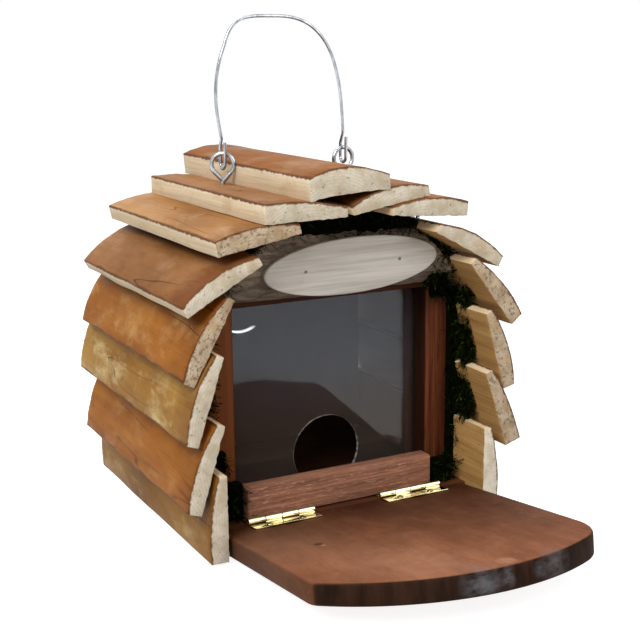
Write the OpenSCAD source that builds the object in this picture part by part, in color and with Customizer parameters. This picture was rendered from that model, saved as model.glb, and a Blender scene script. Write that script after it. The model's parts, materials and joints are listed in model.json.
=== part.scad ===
// Squirrel feeder: an arched house of lapped log slats with a window and a fold-up platform.
// Millimetres, +Z up, the front faces -Y, origin at the middle of the base board's underside.

/* [Base board] */
// Width of the base board, and of the arch that stands on it
base_w = 152; // [146:1:165]
// Depth of the base board from front to back
base_d = 130; // [115:1:150]
// Thickness of the base board
base_t = 11; // [10.5:0.5:14]

/* [Arch] */
// Height above the floor where the straight sides start to curve
spring_h = 107; // [100:1:114]
// Radius of the arch's shoulders
shoulder_r = 50; // [46:1:54]
// Height of the arch's top above the start of the curve
arch_rise = 62; // [60:1:66]
// Thickness of the front former
former_t = 9; // [6:0.5:14]
// Thickness of the back panel
back_t = 9; // [6:0.5:14]

/* [Front frame] */
// Distance from the base's front edge back to the jambs
frame_setback = 14; // [13:0.5:18]
// Distance from a jamb out to the side of the arch
jamb_margin = 4.5; // [2:0.25:8]
// Clear height under the top rail
opening_h = 111; // [104:1:114]
// Width of a jamb, seen from the front
jamb_w = 14; // [10:0.5:15]
// Depth of the jambs and the top rail
jamb_d = 12; // [8:0.5:16]
// Height of the top rail
rail_h = 12; // [8:0.5:16]
// Gap between an end of the sill strip and its jamb
sill_end_gap = 2; // [0.5:0.25:8]
// Depth of the sill strip
sill_d = 10; // [8:0.5:10.5]
// Height of the sill strip
sill_h = 17; // [12:0.5:20]

/* [Window] */
// Thickness of the clear window panel
window_t = 2; // [1.5:0.1:4]
// How far the window reaches behind the jambs and the rail
window_lap = 8; // [4:0.5:9]
// Diameter of the feeding hole
hole_d = 40; // [30:1:50]
// Height of the hole's centre above the base's top
hole_h = 23; // [21:0.5:30]
// Sideways place of the hole's centre
hole_x = 2; // [-6:0.5:6]

/* [Lintel and plaque] */
// Height of the half log over the window
lintel_h = 38; // [34:1:40]
// How far the half log bulges forward
lintel_d = 12.5; // [9:0.5:13]
// How much of the top rail shows under the log
rail_reveal = 3; // [1:0.5:5]
// Width of the oval plaque
plaque_w = 101; // [80:1:104]
// Height of the oval plaque
plaque_h = 29; // [22:1:31]
// Thickness of the plaque
plaque_t = 3; // [2:0.5:3.5]
// Sideways place of the plaque's centre
plaque_x = 4; // [0:0.5:6]
// Slope of the plaque, in degrees
plaque_slope = 2; // [0:0.5:4]
// Distance between the plaque's two pins
plaque_pin_gap = 55; // [40:1:65]
// Shank diameter of a plaque pin
plaque_pin_d = 1.2; // [1:0.1:1.6]
// Length of a plaque pin
plaque_pin_l = 10; // [8:0.5:12]

/* [Slats] */
// Width of a slat
slat_w = 45; // [42:0.5:48]
// Thickness of a slat at its crown
slat_crown = 9; // [8:0.25:11]
// Thickness of a slat at its upper edge
slat_upper_edge = 4.5; // [3:0.25:6]
// Thickness of a slat at its lower edge
slat_lower_edge = 7; // [5:0.25:8]
// How far the slats reach past the base's front
front_overhang = 18; // [14:0.5:24]
// How far the shortest slats reach past the base's back
back_overhang = 2; // [0:0.5:8]
// How far the lowest slats end above the floor
foot_lift = 2; // [1:0.25:4]
// Sideways shift of the ridge from the middle
ridge_shift = 6.5; // [2:0.5:10]
// Half of the gap between the two highest slats
ridge_joint = 2; // [1.8:0.1:3]
// Width of the ridge slat
ridge_w = 45; // [40:0.5:50]
// Thickness of the ridge slat at its crown
ridge_crown = 13; // [11:0.25:15]
// Thickness of the ridge slat at its left edge
ridge_left_edge = 10; // [5:0.25:11]
// Thickness of the ridge slat at its right edge
ridge_right_edge = 6.5; // [5:0.25:10]
// Slope of the ridge slat, in degrees
ridge_slope = 4; // [0:0.5:6]
// Diameter of a slat nail
nail_d = 1.4; // [1.2:0.1:1.8]
// How far a slat nail reaches below the slat
nail_reach = 11; // [8:0.5:12]
// Distance of a nail from the slat's upper edge
nail_inset = 7; // [5:0.5:10]

/* [Moss] */
// How far the moss stays behind the base's front edge
moss_setback = 3; // [2:0.5:8]
// Share of each hollow behind the slats that the moss fills
moss_fill = 0.8; // [0.5:0.05:0.85]

/* [Handle] */
// Distance from the middle to each screw eye
eye_x = 37; // [34:0.5:40]
// Place of the screw eyes along the depth
eye_y = 6; // [-10:1:20]
// Outer diameter of a screw eye's ring
eye_od = 14.5; // [13:0.5:18]
// Wire diameter of a screw eye
eye_wire = 2.2; // [1.8:0.1:2.6]
// Length of a screw eye's shank below its ring
eye_shank = 13; // [11:0.5:16]
// Wire diameter of the handle
handle_wire = 1.8; // [1.4:0.1:2.2]
// Height of the handle above the screw eyes
handle_h = 71; // [60:1:100]
// Sideways place of the handle's highest point
handle_peak_x = -4; // [-10:0.5:10]
// How far the handle's legs bow outwards
handle_flare = 2; // [0:0.25:4]
// Squareness of the handle's left shoulder
handle_left_power = 4.4; // [2:0.1:6]
// Squareness of the handle's right shoulder
handle_right_power = 2.6; // [2:0.1:6]

/* [Hinges] */
// Length of a hinge
hinge_l = 38; // [30:0.5:42]
// Distance between the two hinges' middles
hinge_gap = 78; // [66:1:90]
// Outer diameter of the knuckles
knuckle_d = 4; // [3.6:0.1:5]
// Diameter of the hinge pin
hinge_pin_d = 2; // [1.6:0.1:2.4]
// Width of a leaf from the pin's axis to its edge
leaf_w = 10; // [9:0.5:12]
// Thickness of a leaf
leaf_t = 1; // [0.8:0.1:1.4]
// Head diameter of a hinge screw
screw_head_d = 3.8; // [3.2:0.1:4.4]
// Shank diameter of a hinge screw
screw_d = 2; // [1.6:0.1:2.4]
// Length of a hinge screw
screw_l = 7; // [5:0.5:8]

/* [Platform] */
// How far each side of the platform stays inside the base's side
platform_inset = 2; // [1:0.25:8]
// Length of the platform from the hinge to the furthest place on its front
platform_l = 136; // [100:1:136]
// Thickness of the platform
platform_t = 10.5; // [9:0.5:12]
// Radius of the platform's bowed front edge
platform_bow_r = 114.5; // [95:0.5:200]
// How far right of the middle the front reaches furthest
platform_bow_x = 10; // [0:0.5:11]
// Radius of the platform's left front corner
platform_left_r = 6; // [4:0.5:20]
// Radius of the platform's right front corner
platform_right_r = 26; // [10:0.5:30]
// How far the open platform slopes up to its front, in degrees
platform_tilt = 7.5; // [4:0.5:10]

/* [Clearances] */
// Running clearance of the hinge pins, on the radius
pin_clearance = 0.04; // [0.02:0.01:0.1]
// Clearance between pieces that move past each other
motion_gap = 0.35; // [0.3:0.05:0.5]
// Play of the handle's hooks round the screw eyes, on the radius
hook_play = 0.42; // [0.35:0.01:0.6]
// Clearance of nails, screws and pins in the wood, on the radius
drill_clearance = 0.05; // [0.02:0.01:0.15]
// Clearance between a slat and what it lies on
lap_gap = 0.15; // [0.1:0.05:0.4]

/* [Hidden] */

$fn = 48;
// Cuts run this far past the faces that they open
cut = 1;

// Slats in each side's row, from the ridge down to the floor
rows = 7;
// How far each slat was nailed off an even spacing, from the ridge down
left_nudge = [0, -1, -2.5, -7, -6, 2, 0];
right_nudge = [0, -7, -7, -8, -6, -2, 0];
// Extra outward lean of each slat in degrees, from the ridge down
left_lean = [0, 8, 8, 0, 3, 5, 0];
right_lean = [0, 8, 3, 0, 0, 8, 0];
// How far each slat reaches past the shortest one at the back, from the ridge down
left_spare = [4, 6, 2, 9, 18, 13, 20];
right_spare = [7, 3, 10, 5, 14, 9, 17];
ridge_spare = 13;
// How far each slat's front end stands behind the foremost one, from the ridge down
left_short = [0, 1, 0, 1.5, 0, 1, 0];
right_short = [1, 0, 1, 0, 1, 0, 0.5];
// Extra thickness of each slat's lower edge, from the ridge down
left_thick = [2.5, 0.5, -1.5, -0.5, -0.5, 0.5, 2];
right_thick = [-2, 0, -1, 1, 0, 3, 2];

// Faces of the house along Y, from front to back
base_front = -base_d / 2;
base_back = base_d / 2;
frame_front = base_front + frame_setback;
frame_back = frame_front + jamb_d;
former_front = frame_back + window_t;
former_back = former_front + former_t;
slat_front = base_front - front_overhang;
slat_back = base_back + back_overhang;

// Widths that follow the base's width
opening_w = base_w - 2 * (jamb_margin + jamb_w);
sill_l = opening_w - 2 * sill_end_gap;
platform_w = base_w - 2 * platform_inset;

// Heights of the front frame
opening_top = base_t + opening_h;
lintel_foot = opening_top + rail_reveal;

// The arch: one top arc, two shoulder arcs and straight sides
shoulder_x = base_w / 2 - shoulder_r;
top_drop = (pow(shoulder_x, 2) - pow(arch_rise - shoulder_r, 2)) / (2 * (arch_rise - shoulder_r));
top_r = arch_rise + top_drop;
top_z = spring_h - top_drop;
shoulder_angle = atan2(top_drop, shoulder_x);
top_run = top_r * (90 - shoulder_angle) * PI / 180;
shoulder_run = shoulder_r * shoulder_angle * PI / 180;
foot_run = top_run + shoulder_run + spring_h - foot_lift - slat_w;

// Point of the arch at a distance along it from its top, to the right when positive
function arch_point(run, inset = 0) =
    run < 0 ? let (p = arch_point(-run, inset)) [-p[0], p[1]] :
    run < top_run ?
        let (a = 90 - run / top_r * 180 / PI)
        [(top_r - inset) * cos(a), top_z + (top_r - inset) * sin(a)] :
    run < top_run + shoulder_run ?
        let (a = shoulder_angle - (run - top_run) / shoulder_r * 180 / PI)
        [shoulder_x + (shoulder_r - inset) * cos(a), spring_h + (shoulder_r - inset) * sin(a)] :
    [base_w / 2 - inset, spring_h - (run - top_run - shoulder_run)];

arch_steps = 36;
curve_run = top_run + shoulder_run;

// Outline of the arch down to the base's top, drawn in by an inset
function arch_outline(inset = 0) = concat(
    [[base_w / 2 - inset, base_t], [-base_w / 2 + inset, base_t]],
    [for (k = [0 : arch_steps]) arch_point((2 * k / arch_steps - 1) * curve_run, inset)]);

// A slat's outer face bulges between its two edges
face_steps = 8;
function face_height(u, w, upper, crown, lower) =
    upper + (lower - upper) * u / w + (crown - (upper + lower) / 2) * 4 * (u / w) * (1 - u / w);

// A slat's lay is its upper inner edge, its angle and the extra thickness of its lower edge
function slat_height(lay, u) =
    face_height(u, slat_w, slat_upper_edge, slat_crown, slat_lower_edge + lay[2]);
// Point of a slat at u across it and v out of it
function slat_point(lay, u, v) =
    lay[0] + u * [cos(lay[1]), sin(lay[1])] + (v + lap_gap) * [-sin(lay[1]), cos(lay[1])];
function slat_face(lay) =
    [for (k = [0 : face_steps]) let (u = k * slat_w / face_steps) slat_point(lay, u, slat_height(lay, u))];

// Place of a slat's upper edge along the arch, and the angle at which it clears what lies under it
function first_run(side) = ridge_joint - side * ridge_shift;
function slat_run(side, row, nudge) =
    first_run(side) + (foot_run - first_run(side)) * (row - 1) / (rows - 1) + nudge[row - 1];
// Points nearer to the slat's edge, or further from it, than these don't hold it up
near = 0.6;
far = slat_w + slat_w / face_steps;
function clear_angle(from, points) =
    max([for (p = points) let (d = norm(p - from)) if (d > near && d < far)
         atan2(p[1] - from[1], p[0] - from[0]) + asin(lap_gap / d)]);
function slat_angle(run, below) =
    clear_angle(arch_point(run), concat(slat_face(below),
        [for (k = [1 : face_steps]) arch_point(run + k * slat_w / face_steps)]));
function slat_lays(side, nudge, lean, thick, row = rows, done = []) =
    row < 1 ? done :
    let (run = slat_run(side, row, nudge),
         angle = row == rows ? -90 : slat_angle(run, done[0]) + lean[row - 1],
         lay = [arch_point(run), angle, thick[row - 1]])
    slat_lays(side, nudge, lean, thick, row - 1, concat([lay], done));

// Both sides are worked out as right-hand sides, the left one is mirrored
left_lays = slat_lays(-1, left_nudge, left_lean, left_thick);
right_lays = slat_lays(1, right_nudge, right_lean, right_thick);

// The ridge slat lies on the two highest slats
function mirrored(points) = [for (p = points) [-p[0], p[1]]];
ridge_x = -ridge_shift;
ridge_seats = [for (p = concat(slat_face(right_lays[0]), mirrored(slat_face(left_lays[0]))))
               if (abs(p[0] - ridge_x) < ridge_w / 2 + cut) p];
ridge_z = max([for (p = ridge_seats) p[1] - tan(ridge_slope) * (p[0] - ridge_x)]);
ridge_lay = [[ridge_x, ridge_z] - ridge_w / 2 * [cos(ridge_slope), sin(ridge_slope)], ridge_slope];
function ridge_height(u) = face_height(u, ridge_w, ridge_left_edge, ridge_crown, ridge_right_edge);

// The screw eyes stand on the two highest slats, with their rings' tops on the handle's axis
function eye_seat(lay) =
    let (u = (eye_x - lay[0][0]) / cos(lay[1]))
    slat_point(lay, u, slat_height(lay, u))[1];
eye_ring_r = (eye_od - eye_wire) / 2;
// The higher ring stands this far above its slat
eye_standoff = 0.3;
handle_z = max(eye_seat(left_lays[0]), eye_seat(right_lays[0])) + eye_standoff + eye_od - eye_wire / 2;
hook_r = (eye_wire + handle_wire) / 2 + hook_play;

// Hinge axis, in the seam between the base and the platform
leaf_drop = knuckle_d / 2 + motion_gap;
hinge_y = base_front - motion_gap / 2;
hinge_z = base_t + leaf_drop;
knuckles = 4;
knuckle_pitch = hinge_l / knuckles;
knuckle_reach = knuckle_d / 2 + motion_gap;
screw_x = hinge_l / 4;
screw_y = (knuckle_d / 2 + leaf_w) / 2;
// Thickness of the leaf left under a screw's head
head_seat = 0.1;
screw_head_h = leaf_t - head_seat;

wood = [0.45, 0.28, 0.19];
pale_wood = [0.80, 0.66, 0.46];
bark_wood = [0.66, 0.43, 0.21];
brass = [0.83, 0.68, 0.34];
zinc = [0.72, 0.74, 0.76];
moss_green = [0.20, 0.29, 0.11];

// Lays a drawing in X and Z between two places along the depth
module along_depth(y0, y1) {
    translate([0, y1, 0])
        rotate([90, 0, 0])
            linear_extrude(y1 - y0)
                children();
}

// A nail driven square into a slat, from a reach below its underside to a height in its face
module nail(lay, u, reach, top, clearance) {
    foot = slat_point(lay, u, -reach - clearance);
    translate([foot[0], 0, foot[1]])
        rotate([0, -lay[1], 0])
            cylinder(r = nail_d / 2 + clearance, h = top + reach + clearance);
}

// Both formers take a nail of every slat
nail_places = [(former_front + former_back) / 2, base_back - back_t / 2];
module slat_nail_pair(lay, clearance, over) {
    for (y = nail_places)
        translate([0, y, 0])
            nail(lay, nail_inset, nail_reach, slat_height(lay, nail_inset) + over, clearance);
}

// The ridge's nails go down between the two highest slats into the arch
ridge_nail_reach = ridge_z - arch_point(ridge_x)[1] + nail_reach;
module ridge_nail_pair(clearance, over) {
    for (y = nail_places)
        translate([0, y, 0])
            nail(ridge_lay, ridge_w / 2, ridge_nail_reach, ridge_crown + over, clearance);
}

module every_nail(clearance, over) {
    for (lay = right_lays)
        slat_nail_pair(lay, clearance, over);
    mirror([1, 0, 0])
        for (lay = left_lays)
            slat_nail_pair(lay, clearance, over);
    ridge_nail_pair(clearance, over);
}
// Nails end this far below the slat's face
nail_set = 0.2;

// One slat of the right-hand kind
module slat(lay, short, spare) {
    difference() {
        along_depth(slat_front + short, slat_back + spare)
            polygon(concat([slat_point(lay, slat_w, 0), slat_point(lay, 0, 0)], slat_face(lay)));
        slat_nail_pair(lay, drill_clearance, cut);
    }
}

// Fasteners of one hinge: two countersunk screws under a leaf's face, pointing down
module screw_pair(clearance, over) {
    for (x = [-screw_x, screw_x])
        translate([x, screw_y, -leaf_drop]) {
            translate([0, 0, leaf_t - screw_head_h])
                cylinder(r1 = screw_d / 2 + clearance, r2 = screw_head_d / 2 + clearance, h = screw_head_h);
            translate([0, 0, leaf_t - screw_l - clearance])
                cylinder(r = screw_d / 2 + clearance, h = screw_l - screw_head_h / 2);
            if (over > 0)
                translate([0, 0, leaf_t])
                    cylinder(r = screw_head_d / 2 + clearance, h = over);
        }
}

// A leaf lies on +Y of its pin; first is the knuckle that it starts with, counted from the left
module leaf(first) {
    difference() {
        union() {
            translate([-hinge_l / 2, 0, -leaf_drop])
                cube([hinge_l, leaf_w, leaf_t]);
            translate([-hinge_l / 2, 0, 0])
                rotate([0, 90, 0])
                    cylinder(d = knuckle_d, h = hinge_l);
        }
        for (k = [0 : knuckles - 1])
            if (k % 2 != first)
                translate([-hinge_l / 2 + k * knuckle_pitch - motion_gap / 2, -knuckle_d, -knuckle_d])
                    cube([knuckle_pitch + motion_gap, knuckle_d + knuckle_reach, 2 * knuckle_d]);
        translate([-hinge_l / 2 - cut, 0, 0])
            rotate([0, 90, 0])
                cylinder(d = hinge_pin_d + 2 * pin_clearance, h = hinge_l + 2 * cut);
        screw_pair(drill_clearance, cut);
    }
}

module at_hinge(side) {
    translate([side * hinge_gap / 2, hinge_y, hinge_z])
        children();
}

// The moving leaves and the platform lie on the other side of the pin, sloping up to the front
module on_platform(side) {
    at_hinge(side)
        rotate([-platform_tilt, 0, 0])
            rotate([0, 0, 180])
                children();
}

module base_board() {
    color(wood)
        difference() {
            translate([-base_w / 2, base_front, 0])
                cube([base_w, base_d, base_t]);
            for (side = [-1, 1])
                at_hinge(side)
                    screw_pair(drill_clearance, 0);
        }
}

module back_panel() {
    color(wood)
        difference() {
            along_depth(base_back - back_t, base_back)
                polygon(arch_outline());
            every_nail(drill_clearance, 0);
        }
}

module front_former() {
    color(wood)
        difference() {
            along_depth(former_front, former_back)
                polygon(arch_outline());
            translate([-opening_w / 2, former_front - cut, base_t - cut])
                cube([opening_w, former_t + 2 * cut, opening_h + cut]);
            every_nail(drill_clearance, 0);
        }
}

module jamb(side) {
    color(wood)
        translate([side * (opening_w + jamb_w) / 2 - jamb_w / 2, frame_front, base_t])
            cube([jamb_w, jamb_d, opening_h]);
}
module left_jamb() {
    jamb(-1);
}
module right_jamb() {
    jamb(1);
}

// The rail and the log are trimmed to the arch, clear of the slats
trim_inset = 0.6;
module trimmed(y0, y1) {
    intersection() {
        children();
        along_depth(y0, y1)
            polygon(arch_outline(trim_inset));
    }
}

module top_rail() {
    color(wood)
        trimmed(frame_front, frame_back)
            translate([-base_w / 2, frame_front, opening_top])
                cube([base_w, jamb_d, rail_h]);
}

module sill_strip() {
    color(wood)
        translate([-sill_l / 2, frame_front - sill_d, base_t + leaf_t])
            cube([sill_l, sill_d, sill_h]);
}

module window_panel() {
    color([0.75, 0.80, 0.83, 0.5])
        difference() {
            translate([-opening_w / 2 - window_lap, frame_back, base_t])
                cube([opening_w + 2 * window_lap, window_t, opening_h + window_lap]);
            translate([hole_x, frame_back - cut, base_t + hole_h])
                rotate([-90, 0, 0])
                    cylinder(d = hole_d, h = window_t + 2 * cut);
        }
}

// Outline of the half log's section: flat at the back, round to the front
log_steps = 16;
log_outline = [for (k = [0 : log_steps]) let (a = 180 * k / log_steps - 90)
    [frame_front - lintel_d * cos(a), lintel_foot + lintel_h / 2 * (1 + sin(a))]];
module lintel_log() {
    color([0.36, 0.31, 0.26])
        difference() {
            trimmed(frame_front - lintel_d - cut, frame_front)
                translate([-base_w / 2, 0, 0])
                    rotate([90, 0, 90])
                        linear_extrude(base_w)
                            polygon(log_outline);
            plaque_pin_set(drill_clearance);
        }
}

// The plaque stands against the log's crown
plaque_back = frame_front - lintel_d;
// Its middle is this far below the log's middle
plaque_drop = 3;
plaque_z = lintel_foot + lintel_h / 2 - plaque_drop;
module at_plaque() {
    translate([plaque_x, plaque_back, plaque_z])
        rotate([0, -plaque_slope, 0])
            children();
}
module plaque_pin_set(clearance) {
    at_plaque()
        for (x = [-plaque_pin_gap / 2, plaque_pin_gap / 2])
            translate([x, -plaque_t - clearance, 0])
                rotate([-90, 0, 0])
                    cylinder(r = plaque_pin_d / 2 + clearance, h = plaque_pin_l + 2 * clearance);
}
oval_steps = 60;
module name_plaque() {
    color(pale_wood)
        difference() {
            at_plaque()
                along_depth(-plaque_t, 0)
                    polygon([for (k = [0 : oval_steps - 1]) let (a = 360 * k / oval_steps)
                             [plaque_w / 2 * cos(a), plaque_h / 2 * sin(a)]]);
            plaque_pin_set(drill_clearance);
        }
}
module plaque_pins() {
    color(brass)
        plaque_pin_set(0);
}

module ridge_slat() {
    face = [for (k = [0 : face_steps]) let (u = k * ridge_w / face_steps)
            slat_point(ridge_lay, u, ridge_height(u))];
    color(bark_wood)
        difference() {
            along_depth(slat_front, slat_back + ridge_spare)
                polygon(concat([slat_point(ridge_lay, ridge_w, 0), slat_point(ridge_lay, 0, 0)], face));
            ridge_nail_pair(drill_clearance, cut);
        }
}

// A screw eye may bite through its slat into the next one
eye_rows = 2;
module left_slat(row) {
    color(bark_wood)
        difference() {
            mirror([1, 0, 0])
                slat(left_lays[row - 1], left_short[row - 1], left_spare[row - 1]);
            if (row <= eye_rows)
                eye_shank_at(-1, drill_clearance);
        }
}
module right_slat(row) {
    color(bark_wood)
        difference() {
            slat(right_lays[row - 1], right_short[row - 1], right_spare[row - 1]);
            if (row <= eye_rows)
                eye_shank_at(1, drill_clearance);
        }
}

module slat_nails() {
    color(zinc)
        every_nail(0, -nail_set);
}

// Moss fills the three-cornered hollow between two slats and the arch
module hollow(lays, row) {
    upper = lays[row - 1][0];
    lower = lays[row][0];
    outer = slat_point(lays[row], 0, slat_upper_edge);
    middle = (upper + lower + outer) / 3;
    difference() {
        along_depth(base_front + moss_setback, former_front)
            polygon([for (p = [upper, lower, outer]) middle + moss_fill * (p - middle)]);
        along_depth(base_front, former_back)
            polygon(arch_outline());
    }
}
roof_rows = 3;
module right_moss() {
    color(moss_green)
        for (row = [roof_rows + 1 : rows - 1])
            hollow(right_lays, row);
}
module left_moss() {
    color(moss_green)
        mirror([1, 0, 0])
            for (row = [roof_rows + 1 : rows - 1])
                hollow(left_lays, row);
}
module top_moss() {
    color(moss_green)
        for (row = [1 : roof_rows]) {
            hollow(right_lays, row);
            mirror([1, 0, 0])
                hollow(left_lays, row);
        }
}

// Screw eye: a ring across the house's width on a shank that goes down into its slat
module eye_shank_at(side, clearance) {
    translate([side * eye_x, eye_y, handle_z - 2 * eye_ring_r - eye_shank - clearance])
        cylinder(r = eye_wire / 2 + clearance, h = eye_shank + clearance);
}
module screw_eye(side) {
    color(zinc) {
        translate([side * eye_x, eye_y, handle_z - eye_ring_r])
            rotate([90, 0, 0])
                rotate_extrude()
                    translate([eye_ring_r, 0])
                        circle(d = eye_wire);
        eye_shank_at(side, 0);
    }
}
module left_screw_eye() {
    screw_eye(-1);
}
module right_screw_eye() {
    screw_eye(1);
}

// The handle's wire follows a rounded bow between the two hooks, squarer on the left
handle_steps = 48;
wire_sides = 10;
function bow_point(a) =
    let (left = a > 90,
         reach = left ? -eye_x - handle_peak_x : eye_x - handle_peak_x,
         power = 2 / (left ? handle_left_power : handle_right_power),
         rise = pow(sin(a), power),
         flare = 4 * handle_flare * rise * (1 - rise) * sign(reach))
    [handle_peak_x + reach * pow(abs(cos(a)), power) + flare, handle_h * rise];
// The bow's ends stop at the tops of the hooks
function end_angle(power) = asin(pow(hook_r / handle_h, power / 2));
bow_from = end_angle(handle_right_power);
bow_to = 180 - end_angle(handle_left_power);
bow = [for (k = [0 : handle_steps]) bow_point(bow_from + (bow_to - bow_from) * k / handle_steps)];
function bow_heading(k) =
    let (d = bow[min(k + 1, handle_steps)] - bow[max(k - 1, 0)]) atan2(d[1], d[0]);
bow_rings = [for (k = [0 : handle_steps]) let (t = bow_heading(k)) [for (s = [0 : wire_sides - 1])
    let (a = 360 * s / wire_sides, out = handle_wire / 2 * cos(a))
    [bow[k][0] - out * sin(t), handle_wire / 2 * sin(a), bow[k][1] + out * cos(t)]]];
function ring_index(k, s) = k * wire_sides + s % wire_sides;
bow_faces = concat(
    [[for (s = [0 : wire_sides - 1]) ring_index(0, wire_sides - 1 - s)]],
    [[for (s = [0 : wire_sides - 1]) ring_index(handle_steps, s)]],
    [for (k = [0 : handle_steps - 1]) for (s = [0 : wire_sides - 1])
     [ring_index(k, s), ring_index(k + 1, s + 1), ring_index(k + 1, s)]],
    [for (k = [0 : handle_steps - 1]) for (s = [0 : wire_sides - 1])
     [ring_index(k, s), ring_index(k, s + 1), ring_index(k + 1, s + 1)]]);
module wire_handle() {
    color(zinc)
        translate([0, eye_y, handle_z]) {
            polyhedron(points = [for (ring = bow_rings) for (p = ring) p], faces = bow_faces);
            for (side = [-1, 1])
                translate([side * eye_x, 0, 0])
                    rotate([0, 90, 0])
                        rotate_extrude()
                            translate([hook_r, 0])
                                circle(d = handle_wire);
        }
}

module left_hinge_fixed_leaf() {
    color(brass)
        at_hinge(-1)
            leaf(0);
}
module right_hinge_fixed_leaf() {
    color(brass)
        at_hinge(1)
            leaf(0);
}
module hinge_pin(side) {
    color(brass)
        at_hinge(side)
            translate([-hinge_l / 2, 0, 0])
                rotate([0, 90, 0])
                    cylinder(d = hinge_pin_d, h = hinge_l);
}
module left_hinge_pin() {
    hinge_pin(-1);
}
module right_hinge_pin() {
    hinge_pin(1);
}
module fixed_leaf_screws() {
    color(brass)
        for (side = [-1, 1])
            at_hinge(side)
                screw_pair(0, 0);
}

// A leaf turned round starts with the other end's knuckle
module left_hinge_moving_leaf() {
    color(brass)
        on_platform(-1)
            leaf(0);
}
module right_hinge_moving_leaf() {
    color(brass)
        on_platform(1)
            leaf(0);
}
module moving_leaf_screws() {
    color(brass)
        for (side = [-1, 1])
            on_platform(side)
                screw_pair(0, 0);
}

// Outline of the platform, its length on Y: straight sides, two round corners and a bowed front
half_w = platform_w / 2;
bow_mid = [platform_bow_x, platform_l - platform_bow_r];
corner_steps = 10;
bow_steps = 24;

// Middle of the round corner on one side, which runs into that side and into the bow
function corner_mid(side, r) = let (x = side * (half_w - r))
    [x, bow_mid[1] + sqrt(pow(platform_bow_r - r, 2) - pow(x - bow_mid[0], 2))];

// Direction in which a corner runs into the bow
function meet_angle(mid) = atan2(mid[1] - bow_mid[1], mid[0] - bow_mid[0]);

right_mid = corner_mid(1, platform_right_r);
left_mid = corner_mid(-1, platform_left_r);
right_meet = meet_angle(right_mid);
left_meet = meet_angle(left_mid);
platform_outline = concat(
    [[-half_w, 0], [half_w, 0]],
    [for (k = [0 : corner_steps]) let (a = right_meet * k / corner_steps)
     right_mid + platform_right_r * [cos(a), sin(a)]],
    [for (k = [1 : bow_steps - 1]) let (a = right_meet + (left_meet - right_meet) * k / bow_steps)
     bow_mid + platform_bow_r * [cos(a), sin(a)]],
    [for (k = [0 : corner_steps]) let (a = left_meet + (180 - left_meet) * k / corner_steps)
     left_mid + platform_left_r * [cos(a), sin(a)]]);

// The rear edge is bevelled, so that it lands flat on the base's front when the platform is open
module platform_board() {
    color(wood)
        difference() {
            translate([0, hinge_y, hinge_z])
                rotate([-platform_tilt, 0, 0])
                    mirror([0, 1, 0])
                        translate([0, 0, -leaf_drop - platform_t])
                            linear_extrude(platform_t)
                                polygon(platform_outline);
            translate([-half_w - cut, base_front - motion_gap, hinge_z - platform_l])
                cube([platform_w + 2 * cut, base_d, 2 * platform_l]);
            for (side = [-1, 1])
                on_platform(side)
                    screw_pair(drill_clearance, 0);
        }
}

base_board();
back_panel();
front_former();
left_jamb();
right_jamb();
top_rail();
sill_strip();
window_panel();
lintel_log();
name_plaque();
plaque_pins();
ridge_slat();
left_slat(1);  // left_slat_1
left_slat(2);  // left_slat_2
left_slat(3);  // left_slat_3
left_slat(4);  // left_slat_4
left_slat(5);  // left_slat_5
left_slat(6);  // left_slat_6
left_slat(7);  // left_slat_7
right_slat(1);  // right_slat_1
right_slat(2);  // right_slat_2
right_slat(3);  // right_slat_3
right_slat(4);  // right_slat_4
right_slat(5);  // right_slat_5
right_slat(6);  // right_slat_6
right_slat(7);  // right_slat_7
slat_nails();
left_moss();
right_moss();
top_moss();
left_screw_eye();
right_screw_eye();
wire_handle();
left_hinge_fixed_leaf();
right_hinge_fixed_leaf();
left_hinge_pin();
right_hinge_pin();
fixed_leaf_screws();
platform_board();
left_hinge_moving_leaf();
right_hinge_moving_leaf();
moving_leaf_screws();
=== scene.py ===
# Squirrel feeder: the looks of every piece, in the frame of its CAD parts, in metres.
import json
import math
import random

import bpy
from mathutils import Matrix, Vector, noise


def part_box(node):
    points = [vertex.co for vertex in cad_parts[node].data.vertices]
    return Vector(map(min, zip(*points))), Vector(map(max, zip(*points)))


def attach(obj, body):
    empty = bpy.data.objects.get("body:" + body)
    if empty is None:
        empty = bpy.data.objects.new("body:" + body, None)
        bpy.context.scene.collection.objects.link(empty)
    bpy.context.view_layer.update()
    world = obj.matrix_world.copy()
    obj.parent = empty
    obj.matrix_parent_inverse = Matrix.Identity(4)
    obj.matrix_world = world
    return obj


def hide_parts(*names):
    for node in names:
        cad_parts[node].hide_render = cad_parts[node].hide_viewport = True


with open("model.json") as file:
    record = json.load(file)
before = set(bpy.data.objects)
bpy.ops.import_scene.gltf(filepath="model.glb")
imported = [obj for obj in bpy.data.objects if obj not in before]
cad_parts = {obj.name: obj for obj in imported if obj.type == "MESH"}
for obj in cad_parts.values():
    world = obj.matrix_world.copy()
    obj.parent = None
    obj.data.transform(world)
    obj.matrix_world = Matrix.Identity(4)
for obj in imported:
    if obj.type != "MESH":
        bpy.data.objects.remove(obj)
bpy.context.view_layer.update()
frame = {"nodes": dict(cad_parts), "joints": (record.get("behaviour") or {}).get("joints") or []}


# Base board, back panel and front former
# Planed softwood wiped with a dark red-brown stain. The two arched boards stand on the
# base, nailed from below, and the slats are nailed to their edges.
def paint(red, green, blue):
    """A colour given as a screen shows it, 0 to 255, turned into a linear colour."""
    return (*(((c / 255 + 0.055) / 1.055) ** 2.4 for c in (red, green, blue)), 1)


def feed(tree, node, sockets):
    """Links or sets each named socket of a node."""
    for key, value in sockets.items():
        if isinstance(value, bpy.types.NodeSocket):
            tree.links.new(value, node.inputs[key])
        else:
            node.inputs[key].default_value = value


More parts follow.
